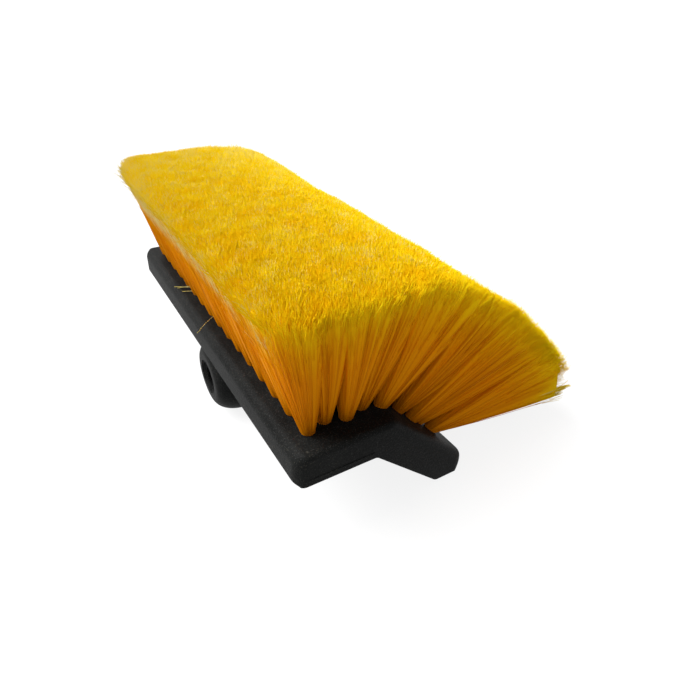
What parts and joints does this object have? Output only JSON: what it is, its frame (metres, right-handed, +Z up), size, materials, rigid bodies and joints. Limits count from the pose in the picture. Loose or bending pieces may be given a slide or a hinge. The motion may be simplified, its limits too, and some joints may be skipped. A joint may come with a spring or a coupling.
{
  "type": "broom head",
  "caption": "Two-level wash broom head: black moulded block with a level and a sloped wing, a handle socket beneath, and flared yellow bristle tufts in rows.",
  "frame": {"origin": "under the middle of the head's bounding box, on the surface it lies on", "axes": "+Z up as the head lies on its socket boss and the foot of its sloped wing, +Y along the block, +X from the level wing's nose with the socket mouth to the sloped wing's foot"},
  "size_m": [0.1584, 0.2734, 0.1298],
  "materials": {
    "block": "black moulded plastic, finely pebbled, half matte",
    "bristle": "golden yellow synthetic bristle with paler flagged tips"
  },
  "bodies": {
    "root": {"block": "block", "level_tuft_row_1": "bristle", "level_tuft_row_2": "bristle", "level_tuft_row_3": "bristle", "level_tuft_row_4": "bristle", "ridge_tuft_row": "bristle", "sloped_tuft_row_1": "bristle", "sloped_tuft_row_2": "bristle", "sloped_tuft_row_3": "bristle", "sloped_tuft_row_4": "bristle"}
  },
  "joints": []
}
